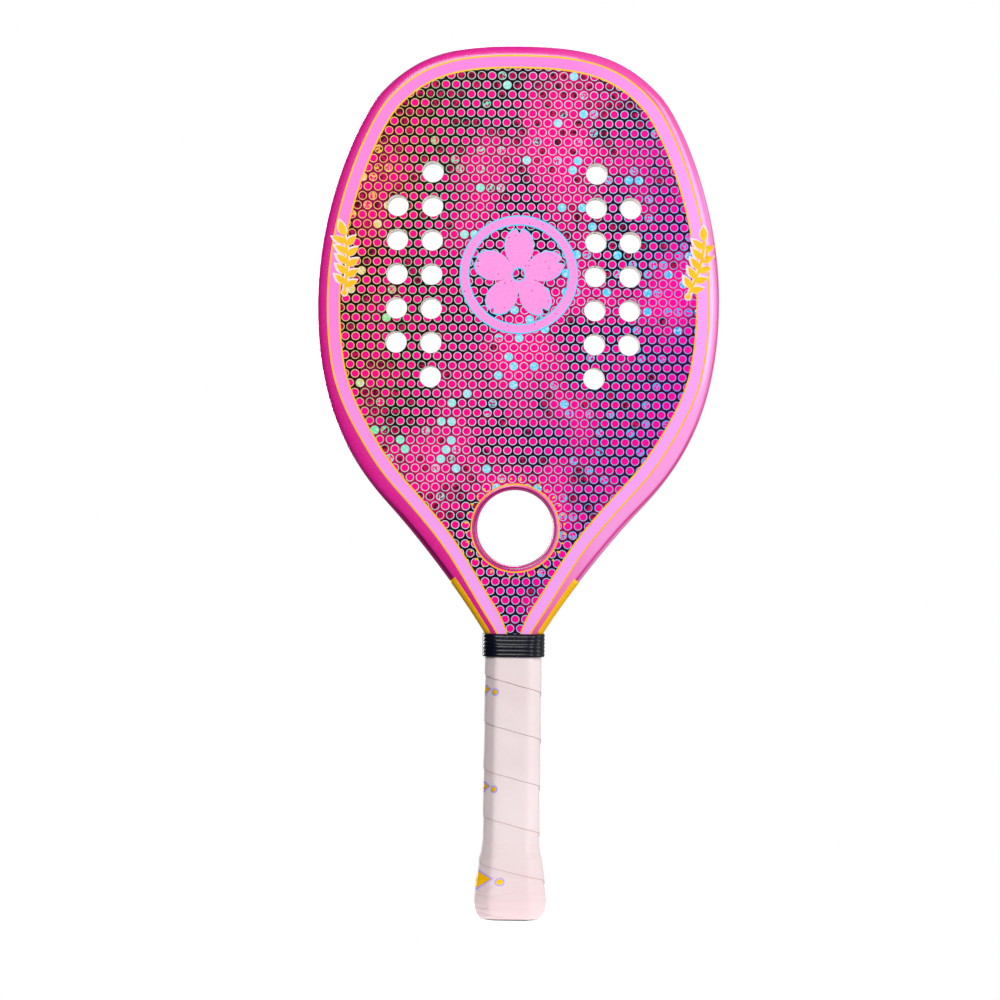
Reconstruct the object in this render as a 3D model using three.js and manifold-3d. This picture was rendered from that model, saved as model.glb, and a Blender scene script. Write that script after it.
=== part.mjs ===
// Beach tennis racket: a hollow composite frame tube bent round a foam core, two laminate
// skins with printed films, and a handle wrapped over half-shell pallets.
// Units are millimetres. +Z runs from the butt to the head, the front face looks along -Y,
// +X is to the right of the front face, and the origin is on the flat end of the butt.

import * as THREE from 'three';
import { mergeVertices } from 'three/addons/utils/BufferGeometryUtils.js';
import Module from 'manifold-3d';

const wasm = await Module();
wasm.setup();

const { smoothstep, lerp, degToRad } = THREE.MathUtils;

// ---------------------------------------------------------------- driving dimensions

const LENGTH = 500;
const HEAD_WIDTH = 230;

// Half thickness of each layer of the head, from the middle plane outwards.
const CORE_Y = 10.0;
const SKIN_Y = 10.8;
const FILM_Y = 11.0;
const APPLIQUE_Y = 11.2;

// Frame tube.
const SIDE_WALL_Y = 5.0;
const BEVEL = 6.1;
const FLANK_BEVEL_EXTRA = 3.2;
const BAND = 6.75;
const LEG = { width: 6.6, x: 10.2, y: 8.8, bottom: 8.6, top: 138 };
// Heights at which the tube reaches its full width and thickness above the legs, and where
// its bevel widens and narrows again along the flanks.
const FULL_WIDTH_Z = 171.7;
const FULL_THICKNESS_Z = 168;
const FLANK_BEVEL = { start: 170, full: 215, easing: 262, end: 315 };
const TUBE_WALL = 1.5;

// Openings in the face.
const HOLE = { radius: 6.2, rowPitch: 19.5, columnPitch: 19.8, innerColumn: 46.8, x: -3.0, z: 368.5 };
const THROAT = { z: 224, bore: 21.8, ring: 25.0, lip: 1.4, edge: 0.4 };

// Handle.
const PALLET = { x: 13.2, y: 11.7, chamfer: 5.2, bottom: 8.6, top: 150 };
const GRIP = { x: 16.0, y: 14.5, chamfer: 6.1 };
const OVERGRIP = { thickness: 0.8, bottom: 0.8, top: 156 };
const BASE_GRIP = { thickness: 1.7, bottom: 1.2, top: 154.5 };
const CAP = { top: 44, floor: 8.2 };
const PLUG = { x: 10.2, y: 8.7, chamfer: 3.4, height: 1.5 };
const STAPLE = { span: 7, leg: 4.2, wire: 0.8, standOff: 1.35, z: 30 };
const FINISHING_TAPE = { thickness: 0.4, bottom: 151.2, top: 153.6 };

// Rubber collar: its outer and inner sizes at each level, from bottom to top.
const COLLAR = {
  outer: [
    { x: 17.9, y: 16.2, chamfer: 6.6, z: 150.5 },
    { x: 17.9, y: 16.1, chamfer: 6.5, z: 157.5 },
    { x: 17.9, y: 13.4, chamfer: 5.4, z: 163.6 },
  ],
  inner: [
    { x: 16.6, y: 15.1, chamfer: 5.9, z: 150.5 },
    { x: 16.7, y: 15.0, chamfer: 5.8, z: 157.5 },
    { x: 16.9, y: 12.2, chamfer: 4.0, z: 163.6 },
  ],
};

// Clearance left between pieces that rest on each other.
const GAP = 0.3;
const SLIM_GAP = 0.15;

const HOLE_SIDES = 12;
const THROAT_SIDES = 36;
const HALF_OUTLINE_STEPS = 36;

// Where the face layers end above the handle.
const FACE_BOTTOM = 158;

// ---------------------------------------------------------------- helpers

// A closed skin over a row of sections. Each section is a list of 2-D points, and
// place(index, point) puts one of them in space. A ring-shaped row joins its ends,
// and any other row gets flat caps.
function loft(sections, place, ringShaped = false) {
  const count = sections[0].length;
  const positions = sections.flatMap((section, i) => (
    section.flatMap((point) => place(i, point).toArray())
  ));
  const index = [];
  const spans = ringShaped ? sections.length : sections.length - 1;
  for (let i = 0; i < spans; i += 1) {
    const near = i * count;
    const far = ((i + 1) % sections.length) * count;
    for (let j = 0; j < count; j += 1) {
      const k = (j + 1) % count;
      index.push(near + j, near + k, far + k, near + j, far + k, far + j);
    }
  }
  if (!ringShaped) {
    const last = (sections.length - 1) * count;
    const turn = THREE.ShapeUtils.isClockWise(sections[0]);
    for (const [a, b, c] of THREE.ShapeUtils.triangulateShape(sections[0], [])) {
      index.push(a, turn ? b : c, turn ? c : b);
      index.push(last + a, last + (turn ? c : b), last + (turn ? b : c));
    }
  }
  const geometry = new THREE.BufferGeometry();
  geometry.setAttribute('position', new THREE.Float32BufferAttribute(positions, 3));
  geometry.setIndex(index);
  return facingOut(geometry);
}

// Turns every triangle round when the enclosed volume comes out negative.
function facingOut(geometry) {
  const position = geometry.getAttribute('position');
  const index = Array.from(geometry.getIndex().array);
  const corner = (i) => new THREE.Vector3().fromBufferAttribute(position, index[i]);
  let volume = 0;
  for (let i = 0; i < index.length; i += 3) {
    volume += corner(i).dot(corner(i + 1).cross(corner(i + 2)));
  }
  return volume < 0 ? geometry.setIndex(index.reverse()) : geometry;
}

// A flat plate: a shape drawn in X and Z, thick from yFrom to yTo.
function plate(shape, yFrom, yTo, curveSegments = 6) {
  const geometry = new THREE.ExtrudeGeometry(shape, {
    depth: yTo - yFrom,
    bevelEnabled: false,
    curveSegments,
  });
  return geometry.rotateX(Math.PI / 2).translate(0, yTo, 0);
}

// A ring of eight corners: a rectangle with its four corners cut off at 45 degrees.
function octagon({ x, y, chamfer }) {
  const quarter = [[x, y - chamfer], [x - chamfer, y]];
  const mirrored = [
    ...quarter,
    ...quarter.map(([a, b]) => [-a, b]).reverse(),
    ...quarter.map(([a, b]) => [-a, -b]),
    ...quarter.map(([a, b]) => [a, -b]).reverse(),
  ];
  return mirrored.map(([a, b]) => new THREE.Vector2(a, b));
}

// Octagons stacked along Z.
function octagonStack(levels, ringShaped = false) {
  return loft(levels.map(octagon), (i, p) => new THREE.Vector3(p.x, p.y, levels[i].z), ringShaped);
}

// An octagon with every side moved outwards by the same distance.
function grown(size, by) {
  const chamfer = size.chamfer + (2 - Math.SQRT2) * by;
  return { ...size, x: size.x + by, y: size.y + by, chamfer };
}

function toSolid(geometry) {
  const bare = geometry.clone();
  bare.deleteAttribute('normal');
  bare.deleteAttribute('uv');
  const merged = mergeVertices(bare, 1e-4);
  return new wasm.Manifold(new wasm.Mesh({
    numProp: 3,
    vertProperties: new Float32Array(merged.getAttribute('position').array),
    triVerts: new Uint32Array(merged.getIndex().array),
  }));
}

function toGeometry(solid) {
  const { vertProperties, triVerts } = solid.getMesh();
  const geometry = new THREE.BufferGeometry();
  geometry.setAttribute('position', new THREE.BufferAttribute(vertProperties, 3));
  geometry.setIndex(new THREE.BufferAttribute(triVerts, 1));
  return geometry;
}

function cut(geometry, ...tools) {
  return toGeometry(tools.map(toSolid).reduce((rest, tool) => rest.subtract(tool), toSolid(geometry)));
}

function join(...pieces) {
  return toGeometry(pieces.map(toSolid).reduce((whole, piece) => whole.add(piece)));
}

function box(x, y, z, cx, cy, cz) {
  return new THREE.BoxGeometry(x, y, z).translate(cx, cy, cz);
}

const group = new THREE.Group();
group.name = 'beach_tennis_racket';

function addPiece(name, geometry, color, roughness, metalness = 0) {
  const mesh = new THREE.Mesh(geometry, new THREE.MeshStandardMaterial({ color, roughness, metalness }));
  mesh.name = name;
  group.add(mesh);
}

// ---------------------------------------------------------------- racket outline

// Each knot of the right half: position, heading in degrees, and the reach of its two
// handles. Headings are measured from +X, so -90 points straight down.
const SHOULDER = { x: 80.4, z: 471.8, heading: -48.3, before: 30.7, after: 15 };
const SIDE = { x: HEAD_WIDTH / 2, z: 352.3, heading: -90, before: 59.3, after: 60.1 };
const FLANK = { x: 72.4, z: 236.5, heading: -132.9, before: 32.6, after: 24.5 };
const NECK = { x: 16.5, z: 163.7, heading: -121.9, before: 29.6, after: 12 };
const LEG_START = { x: LEG.x, z: LEG.top, heading: -90, before: 10, after: 0 };
const CROWN_HANDLE = 38;

function halfOutline() {
  const path = new THREE.Path().moveTo(0, LENGTH);
  let leaving = [CROWN_HANDLE, LENGTH];
  for (const knot of [SHOULDER, SIDE, FLANK, NECK, LEG_START]) {
    const c = Math.cos(degToRad(knot.heading));
    const s = Math.sin(degToRad(knot.heading));
    path.bezierCurveTo(...leaving, knot.x - c * knot.before, knot.z - s * knot.before, knot.x, knot.z);
    leaving = [knot.x + c * knot.after, knot.z + s * knot.after];
  }
  return path;
}

// Stations along the whole outline from the left leg, over the crown, to the right leg.
// Each has its point and the unit vector that points into the racket.
function outlineStations() {
  const path = halfOutline();
  const right = [];
  for (let i = 0; i <= HALF_OUTLINE_STEPS; i += 1) {
    const point = path.getPointAt(i / HALF_OUTLINE_STEPS);
    const tangent = path.getTangentAt(i / HALF_OUTLINE_STEPS);
    right.push({ x: point.x, z: point.y, inX: tangent.y, inZ: -tangent.x });
  }
  right.push({ x: LEG.x, z: LEG.bottom, inX: -1, inZ: 0 });
  const left = right.slice(1).reverse().map((s) => ({ ...s, x: -s.x, inX: -s.inX }));
  return [...left, ...right];
}

const stations = outlineStations();

// Width of the sloping edge between the outline and the flat of the tube.
function bevelWidth(z) {
  const { start, full, easing, end } = FLANK_BEVEL;
  return BEVEL + FLANK_BEVEL_EXTRA * smoothstep(z, start, full) * (1 - smoothstep(z, easing, end));
}

function tubeWidth(z) {
  return lerp(LEG.width, bevelWidth(z) + BAND, smoothstep(z, LEG.top, FULL_WIDTH_Z));
}

function tubeHalfThickness(z) {
  return lerp(LEG.y, SKIN_Y, smoothstep(z, LEG.top, FULL_THICKNESS_Z));
}

// A point at a given depth inside the outline.
function inside(station, depth) {
  return new THREE.Vector2(station.x + station.inX * depth, station.z + station.inZ * depth);
}

// ---------------------------------------------------------------- frame tube

// Section of the tube as (depth from the outline, y).
function tubeSection({ z }, wall = 0) {
  const width = tubeWidth(z);
  const half = tubeHalfThickness(z);
  const bevel = Math.min(bevelWidth(z), width * 0.5);
  const side = SIDE_WALL_Y * (half / SKIN_Y);
  const upper = [[width, half], [bevel, half], [bevel * 0.25, lerp(side, half, 0.5)], [0, side]];
  const points = [...upper, ...upper.map(([d, y]) => [d, -y]).reverse()];
  const shrinkDepth = (width - 2 * wall) / width;
  const shrinkY = (half - wall) / half;
  return points.map(([d, y]) => new THREE.Vector2(wall + d * shrinkDepth, y * shrinkY));
}

function frameTube() {
  const back = [...stations].reverse();
  const course = [...stations, ...back];
  const sections = course.map((s, i) => tubeSection(s, i < stations.length ? 0 : TUBE_WALL));
  const place = (i, p) => {
    const spot = inside(course[i], p.x);
    return new THREE.Vector3(spot.x, p.y, spot.y);
  };
  return loft(sections, place, true);
}

// ---------------------------------------------------------------- face layers

// The region enclosed by the tube, closed by a straight lower edge.
function faceShape(gap) {
  const edge = stations.map((s) => inside(s, tubeWidth(s.z) + gap));
  const kept = edge.filter((p) => p.y > FACE_BOTTOM);
  const last = kept.at(-1);
  const below = edge[edge.indexOf(last) + 1];
  const corner = last.clone().lerp(below, (last.y - FACE_BOTTOM) / (last.y - below.y));
  return new THREE.Shape([...kept, corner, new THREE.Vector2(-corner.x, corner.y)]);
}

function drilledHoleCentres() {
  const centres = [];
  for (const side of [-1, 1]) {
    for (const [column, rows] of [[0, 3], [1, 2]]) {
      for (let row = -rows; row <= rows; row += 1) {
        const x = HOLE.x + side * (HOLE.innerColumn + column * HOLE.columnPitch);
        centres.push([x, HOLE.z + row * HOLE.rowPitch]);
      }
    }
  }
  return centres;
}

function roundHole(x, z, radius, sides) {
  const whole = new THREE.Path().absarc(x, z, radius, 0, 2 * Math.PI);
  return new THREE.Path(whole.getPoints(sides / 2).slice(0, -1));
}

function faceLayer(gap, yFrom, yTo) {
  const shape = faceShape(gap);
  shape.holes = drilledHoleCentres().map(([x, z]) => roundHole(x, z, HOLE.radius, HOLE_SIDES));
  shape.holes.push(roundHole(0, THROAT.z, THROAT.ring + GAP, THROAT_SIDES));
  return plate(shape, yFrom, yTo);
}

// The band on the flat of the tube, from its bevel to its inner edge.
function borderShape() {
  const kept = stations.filter((s) => s.z > NECK.z - 3);
  const outer = kept.map((s) => inside(s, bevelWidth(s.z) + SLIM_GAP));
  const inner = kept.map((s) => inside(s, tubeWidth(s.z) - SLIM_GAP));
  return new THREE.Shape([...outer, ...inner.reverse()]);
}

// Lining of the throat hole, with a rounded crown on both faces.
function throatRing() {
  const { bore, ring, lip, edge } = THROAT;
  const half = [
    [bore, APPLIQUE_Y - lip],
    [bore + edge, APPLIQUE_Y - edge],
    [bore + lip, APPLIQUE_Y],
    [ring - edge, APPLIQUE_Y],
    [ring, APPLIQUE_Y - edge],
  ];
  const profile = [...half, ...half.map(([r, y]) => [r, -y]).reverse(), half[0]];
  const points = profile.map(([r, y]) => new THREE.Vector2(r, y));
  return facingOut(mergedCopy(new THREE.LatheGeometry(points, THROAT_SIDES).translate(0, 0, THROAT.z)));
}

function mergedCopy(geometry) {
  geometry.deleteAttribute('normal');
  geometry.deleteAttribute('uv');
  return mergeVertices(geometry, 1e-3);
}

// ---------------------------------------------------------------- decals

const EMBLEM = {
  z: 368.8, radius: 33.9, ring: 4.4, heart: 6, petals: 5, petalWidth: 11, petalLow: 9, petalHigh: 24,
};

// A blossom inside a ring, cut as one piece of foil.
function emblem(yFrom, yTo) {
  const { petalWidth, petalLow, petalHigh } = EMBLEM;
  const inner = EMBLEM.radius - EMBLEM.ring;
  const ring = new THREE.Shape().absarc(0, 0, EMBLEM.radius, 0, 2 * Math.PI);
  ring.holes.push(new THREE.Path().absarc(0, 0, inner, 0, 2 * Math.PI));
  const petal = new THREE.Shape().moveTo(0, 0)
    .bezierCurveTo(-petalWidth, petalLow, -petalWidth, petalHigh, 0, inner + EMBLEM.ring / 2)
    .bezierCurveTo(petalWidth, petalHigh, petalWidth, petalLow, 0, 0);
  const heart = new THREE.Shape().absarc(0, 0, EMBLEM.heart, 0, 2 * Math.PI);
  const pieces = [plate(ring, yFrom, yTo, 16), plate(heart, yFrom, yTo, 8)];
  for (let i = 0; i < EMBLEM.petals; i += 1) {
    pieces.push(plate(petal, yFrom, yTo, 6).rotateY((2 * Math.PI * i) / EMBLEM.petals));
  }
  return join(...pieces).translate(0, 0, EMBLEM.z);
}

const SPRIG = {
  x: 98.5, z: 376, length: 42, leaf: 8.5, leafWidth: 3.4, root: 1, stem: 1.6, lean: 7,
  spread: 50, pairs: [7, 16, 25],
};

// A leafy sprig: a straight stem with three pairs of leaves and one at the tip.
function sprig(side, yFrom, yTo) {
  const stem = new THREE.Shape([[-1, 0], [1, 0], [0.5, 1], [-0.5, 1]]
    .map(([x, t]) => new THREE.Vector2((x * SPRIG.stem) / 2, t * (SPRIG.length - SPRIG.leaf))));
  const belly = SPRIG.leaf * 0.4;
  const leaf = new THREE.Shape().moveTo(0, -SPRIG.root)
    .quadraticCurveTo(SPRIG.leafWidth, belly, 0, SPRIG.leaf)
    .quadraticCurveTo(-SPRIG.leafWidth, belly, 0, -SPRIG.root);
  const pieces = [plate(stem, yFrom, yTo)];
  pieces.push(plate(leaf, yFrom, yTo, 3).translate(0, 0, SPRIG.length - SPRIG.leaf));
  for (const z of SPRIG.pairs) {
    for (const turn of [-SPRIG.spread, SPRIG.spread]) {
      pieces.push(plate(leaf, yFrom, yTo, 3).rotateY(degToRad(turn)).translate(0, 0, z));
    }
  }
  return join(...pieces)
    .translate(0, 0, -SPRIG.length / 2)
    .rotateY(degToRad(-side * SPRIG.lean))
    .translate(side * SPRIG.x, 0, SPRIG.z);
}

// Foil on the outer wall of the tube: how far its two faces stand off the wall, its half
// width, and the height it reaches.
const SIDE_DECAL = { outer: 0.25, inner: 0.05, reach: SIDE_WALL_Y, top: 196 };

function sideDecal(side) {
  const strip = stations.filter((s) => (
    Math.sign(s.x) === side && s.z > NECK.z - 3 && s.z < SIDE_DECAL.top
  ));
  const band = (depth, half) => [[depth, -half], [depth, half]];
  const { outer, inner, reach } = SIDE_DECAL;
  const section = [...band(-outer, reach), ...band(-inner, reach).reverse()];
  const points = section.map(([d, y]) => new THREE.Vector2(d, y));
  const place = (i, p) => {
    const spot = inside(strip[i], p.x);
    return new THREE.Vector3(spot.x, p.y, spot.y);
  };
  return loft(strip.map(() => points), place);
}

// ---------------------------------------------------------------- handle

// How much the wrapped handle grows towards the butt, and how it rounds under at the end.
const FLARE = [
  { z: 0, by: 0 },
  { z: 3, by: 2.9 },
  { z: 6, by: 4.0 },
  { z: 11, by: 4.4 },
  { z: 20, by: 3.6 },
  { z: 28, by: 2.6 },
  { z: 35, by: 1.7 },
  { z: 38, by: 0.8 },
  { z: 41, by: 0.2 },
  { z: 46, by: 0 },
];

const CAP_INSET = OVERGRIP.thickness + BASE_GRIP.thickness + 2 * SLIM_GAP;

function growthAt(z) {
  const above = FLARE.findIndex((level) => level.z > z);
  if (above < 1) {
    return 0;
  }
  const [low, high] = [FLARE[above - 1], FLARE[above]];
  return lerp(low.by, high.by, (z - low.z) / (high.z - low.z));
}

// Levels of one wrap surface, from bottom to top: the grip's own size, less an inset.
function wrapLevels(inset, bottom, top) {
  const between = FLARE.map((level) => level.z).filter((z) => z > bottom && z < top);
  return [bottom, ...between, top].map((z) => ({ ...grown(GRIP, growthAt(z) - inset), z }));
}

function wrap(inset, { thickness, bottom, top }) {
  const outer = wrapLevels(inset, bottom, top);
  const inner = wrapLevels(inset + thickness, bottom, top);
  return octagonStack([...outer, ...inner.reverse()], true);
}

// Blocks the room that the legs and the filler take inside the handle.
function legRoom() {
  const rightLeg = stations.filter((s) => s.x > 0 && s.z < PALLET.top + 8);
  const levels = rightLeg.map((s) => ({
    x: s.x + GAP,
    y: tubeHalfThickness(s.z) + GAP,
    chamfer: 0.5,
    z: s.z === LEG.bottom ? CAP.floor - 1 : s.z,
  }));
  return octagonStack(levels);
}

function staple(side, x, grow = 0) {
  const y = side * (PALLET.y + STAPLE.standOff);
  const wire = STAPLE.wire + 2 * grow;
  const legReach = STAPLE.leg + grow;
  const legs = [-1, 1].map((end) => box(
    wire, legReach + wire / 2, wire,
    x + (end * (STAPLE.span - STAPLE.wire)) / 2, y - (side * (legReach - wire / 2)) / 2, STAPLE.z,
  ));
  return join(box(STAPLE.span + 2 * grow, wire, wire, x, y, STAPLE.z), ...legs);
}

const STAPLE_SPOTS = [[-1, 0], [1, 0]];

function pallet(side) {
  const stack = octagonStack([{ ...PALLET, z: PALLET.bottom }, { ...PALLET, z: PALLET.top }]);
  const otherHalf = box(
    4 * PALLET.x, 4 * PALLET.y, 2 * PALLET.top,
    0, -side * (2 * PALLET.y - GAP / 2), PALLET.top / 2,
  );
  return cut(stack, otherHalf, legRoom(), ...STAPLE_SPOTS.map(([s, x]) => staple(s, x, SLIM_GAP)));
}

function buttCap() {
  const shell = octagonStack(wrapLevels(CAP_INSET, 0, CAP.top));
  const socket = grown(PALLET, SLIM_GAP);
  const cavity = octagonStack([{ ...socket, z: CAP.floor }, { ...socket, z: CAP.top + 1 }]);
  const recess = grown(PLUG, SLIM_GAP);
  const plugRoom = octagonStack([{ ...recess, z: -1 }, { ...recess, z: PLUG.height + GAP }]);
  const staples = STAPLE_SPOTS.map(([s, x]) => staple(s, x, SLIM_GAP));
  return cut(shell, cavity, plugRoom, ...staples);
}

function handleFiller() {
  const x = LEG.x - LEG.width - GAP;
  const y = LEG.y - SLIM_GAP;
  return box(2 * x, 2 * y, LEG.top - LEG.bottom, 0, 0, (LEG.top + LEG.bottom) / 2);
}

function collar() {
  return octagonStack([...COLLAR.outer, ...[...COLLAR.inner].reverse()], true);
}

function finishingTape() {
  const { thickness, bottom, top } = FINISHING_TAPE;
  const inner = grown(GRIP, SLIM_GAP);
  const outer = grown(GRIP, thickness);
  return octagonStack([
    { ...outer, z: bottom },
    { ...outer, z: top },
    { ...inner, z: top },
    { ...inner, z: bottom },
  ], true);
}

// ---------------------------------------------------------------- the racket

addPiece('frame_tube', frameTube(), 0xd6149a, 0.35);
addPiece('core_foam', faceLayer(GAP, -CORE_Y, CORE_Y), 0xf2efe9, 0.9);
addPiece('front_skin', faceLayer(GAP, -SKIN_Y, -CORE_Y), 0x23060f, 0.5);
addPiece('rear_skin', faceLayer(GAP, CORE_Y, SKIN_Y), 0x23060f, 0.5);
addPiece('front_film', faceLayer(GAP, -FILM_Y, -SKIN_Y), 0xff0090, 0.3);
addPiece('rear_film', faceLayer(GAP, SKIN_Y, FILM_Y), 0xff0090, 0.3);
addPiece('front_border_decal', plate(borderShape(), -FILM_Y, -SKIN_Y), 0xff96e1, 0.4);
addPiece('rear_border_decal', plate(borderShape(), SKIN_Y, FILM_Y), 0xff96e1, 0.4);
addPiece('front_emblem', emblem(-APPLIQUE_Y, -FILM_Y), 0xff96e6, 0.45);
addPiece('rear_emblem', emblem(FILM_Y, APPLIQUE_Y), 0xff96e6, 0.45);
for (const [side, name] of [[-1, 'left'], [1, 'right']]) {
  addPiece(`front_sprig_${name}`, sprig(side, -APPLIQUE_Y, -FILM_Y), 0xffb400, 0.35, 0.6);
  addPiece(`rear_sprig_${name}`, sprig(side, FILM_Y, APPLIQUE_Y), 0xffb400, 0.35, 0.6);
  addPiece(`side_decal_${name}`, sideDecal(side), 0xffb400, 0.35, 0.6);
}
addPiece('throat_ring', throatRing(), 0xd6149a, 0.35);
addPiece('handle_filler', handleFiller(), 0xd8c9a8, 0.9);
addPiece('pallet_front', pallet(-1), 0x303030, 0.7);
addPiece('pallet_rear', pallet(1), 0x303030, 0.7);
addPiece('butt_cap', buttCap(), 0x141418, 0.5);
addPiece('butt_plug', octagonStack([{ ...PLUG, z: 0 }, { ...PLUG, z: PLUG.height }]), 0x141418, 0.5);
addPiece('staple_front', staple(...STAPLE_SPOTS[0]), 0xb8b8b8, 0.3, 1);
addPiece('staple_rear', staple(...STAPLE_SPOTS[1]), 0xb8b8b8, 0.3, 1);
addPiece('base_grip', wrap(OVERGRIP.thickness + SLIM_GAP, BASE_GRIP), 0x222222, 0.95);
addPiece('overgrip', wrap(0, OVERGRIP), 0xf5e1e1, 0.85);
addPiece('finishing_tape', finishingTape(), 0x101010, 0.5);
addPiece('collar', collar(), 0x0a0f1e, 0.35);

export default group;
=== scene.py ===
"""Beach tennis racket: the look of every visible surface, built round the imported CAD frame."""

import math

import bmesh
import bpy
import numpy as np
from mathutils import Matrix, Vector

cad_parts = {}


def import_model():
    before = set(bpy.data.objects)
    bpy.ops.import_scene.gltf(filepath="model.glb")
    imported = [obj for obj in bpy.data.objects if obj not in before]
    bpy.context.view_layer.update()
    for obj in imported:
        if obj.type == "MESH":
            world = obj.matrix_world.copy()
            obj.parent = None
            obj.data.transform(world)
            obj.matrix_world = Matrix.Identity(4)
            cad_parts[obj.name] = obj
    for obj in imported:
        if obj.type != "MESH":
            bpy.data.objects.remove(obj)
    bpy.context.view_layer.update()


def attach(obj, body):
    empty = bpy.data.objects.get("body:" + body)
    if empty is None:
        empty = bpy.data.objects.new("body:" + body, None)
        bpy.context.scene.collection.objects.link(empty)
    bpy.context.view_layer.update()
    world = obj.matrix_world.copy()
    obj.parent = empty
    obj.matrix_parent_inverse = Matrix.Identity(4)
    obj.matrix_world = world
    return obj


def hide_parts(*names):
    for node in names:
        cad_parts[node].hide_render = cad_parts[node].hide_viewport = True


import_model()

MM = 0.001

# ---------------------------------------------------------------- dimensions, in millimetres

LENGTH = 500.0
HEAD_HALF_WIDTH = 115.0

# Half thickness of each layer of the head.
CORE_Y = 10.0
SKIN_Y = 10.8
FILM_Y = 11.0

# Frame tube.
SIDE_WALL_Y = 5.0
BEVEL = 6.1
FLANK_BEVEL_EXTRA = 3.2
BAND = 6.75
LEG_WIDTH = 6.6
LEG_X = 10.2
LEG_Y = 8.8
LEG_TOP_Z = 138.0
NECK_Z = 163.7
TUBE_END_Z = 152.0
FACE_BOTTOM_Z = 158.0
PINSTRIPE = 0.95

# Painted shade: a dark line along the bevel's crease; its depth on the arms of the throat and on the
# head, and its width.
SHADE_LINE_DEPTH = 2.1
RIM_SHADE_LINE_DEPTH = 1.1
SHADE_LINE_WIDTH = 0.8

# Openings.
HOLE_RADIUS = 6.2
HOLE_ROW_PITCH = 19.5
HOLE_COLUMN_PITCH = 19.8
HOLE_INNER_COLUMN_X = 46.8
HOLE_PATTERN_X = -3.0
HOLE_PATTERN_Z = 368.5
THROAT_Z = 224.0
THROAT_BORE = 21.8
THROAT_RING = 25.0
THROAT_STEPS = 128
# Radius and width of the painted shade line round the throat lining.
THROAT_SHADE_LINE_RADIUS = 23.2
THROAT_SHADE_LINE_WIDTH = 0.45
TRIM_MARKS = 32
TRIM_RADIUS = 28.2

# Printed circles of the face: spacing along a row, spacing of the rows, place of one, and radii.
DOT_PITCH = 5.84
DOT_ROW = 5.35
DOT_ORIGIN = (0.76, 0.85)
DOT_RADIUS = 2.12
DOT_RING_RADIUS = 2.49

# Emblem, sprigs and the foil on the sides of the throat.
EMBLEM_Z = 368.8
EMBLEM_RADIUS = 33.2
EMBLEM_RING = 4.4
PETAL_GAP = 2.6
EYE_RADIUS = 4.0
OUTLINE_WIDTH = 0.7
SPRIG_X = 100.4
SPRIG_Z = 373.4
SPRIG_LENGTH = 32.5
SPRIG_LEAN = math.radians(8)
STEM_SWAY = 3.2
LEAF_LEAN = 0.95
SIDE_FOIL_TOP_Z = 194.0
SIDE_FOIL_OUTSIDE = 0.16
SIDE_FOIL_INSIDE = 0.04

# Handle.
GRIP = {"x": 16.0, "y": 14.5, "chamfer": 6.1}
GRIP_BOTTOM_Z = 0.9
GRIP_TOP_Z = 156.0
WRAP_PITCH = 26.8
WRAP_STEP = 0.45
WRAP_PHASE_Z = 141.8
COLLAR_BOTTOM_Z = 150.5
COLLAR_SHOULDER_Z = 157.5
COLLAR_TOP_Z = 163.6
COLLAR_X = 17.9
COLLAR_RIDGES = 6
COLLAR_SHARPNESS = 14.0

# How far the grip swells at each height above the butt.
FLARE_Z = (0, 1.5, 3, 6, 11, 20, 28, 35, 38, 41, 46)
FLARE_BY = (-0.6, 1.7, 2.9, 4.0, 4.4, 3.6, 2.6, 1.7, 0.8, 0.2, 0)
CHAMFER_GROWTH = 0.586

# Marks on the grip: height, size of the lozenge, its shift along the grip's girth, place of the dot.
GRIP_MARKS = (
    (132.0, 1.25, 0, 6.25),
    (76.5, 1.25, 0, 6.25),
    (24.0, 2.4, 2.0, 11.4),
)
MARK_ANGLE = math.radians(212)
MARK_CURVE = 16.5
MARK_RINGS = (1.0, 0.85, 0.7, 0.55, 0.4, 0.2)

# Studio, in metres and degrees. The ambient light from the racket's left and from its right is a
# share of the white behind it.
CAMERA_PLACE = (-0.0089, -2.2, 0.24)
CAMERA_LENS = 138.0
CAMERA_ROLL = -0.80
AMBIENT_LEFT = 0.03
AMBIENT_RIGHT = 0.38
FLOOR_RADIUS = 0.08
FLOOR_STEPS = 96


# ---------------------------------------------------------------- outline of the racket


def bezier(a, b, c, d, steps):
    t = np.linspace(0.0, 1.0, steps)[:, None]
    return (1 - t) ** 3 * a + 3 * (1 - t) ** 2 * t * b + 3 * (1 - t) * t**2 * c + t**3 * d


def half_outline():
    """Points of the right half, from the crown to the top of the leg."""
    # Each knot: x, z, heading in degrees, and the reach of its handles before and after it.
    knots = [
        (80.4, 471.8, -48.3, 30.7, 15.0),
        (HEAD_HALF_WIDTH, 352.3, -90.0, 59.3, 60.1),
        (72.4, 236.5, -132.9, 32.6, 24.5),
        (16.5, NECK_Z, -121.9, 29.6, 12.0),
        (LEG_X, LEG_TOP_Z, -90.0, 10.0, 0.0),
    ]
    start = np.array([0.0, LENGTH])
    leaving = start + (38.0, 0.0)
    stretches = []
    for x, z, heading, before, after in knots:
        knot = np.array([x, z])
        along = np.array([math.cos(math.radians(heading)), math.sin(math.radians(heading))])
        stretches.append(bezier(start, leaving, knot - along * before, knot, 300))
        start, leaving = knot, knot + along * after
    return np.concatenate([stretches[0]] + [s[1:] for s in stretches[1:]])


def spaced(points, count):
    """The same line with its points evenly spaced."""
    run = np.concatenate([[0.0], np.cumsum(np.linalg.norm(np.diff(points, axis=0), axis=1))])
    at = np.linspace(0.0, run[-1], count)
    return np.stack([np.interp(at, run, points[:, k]) for k in range(2)], axis=1)


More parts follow.
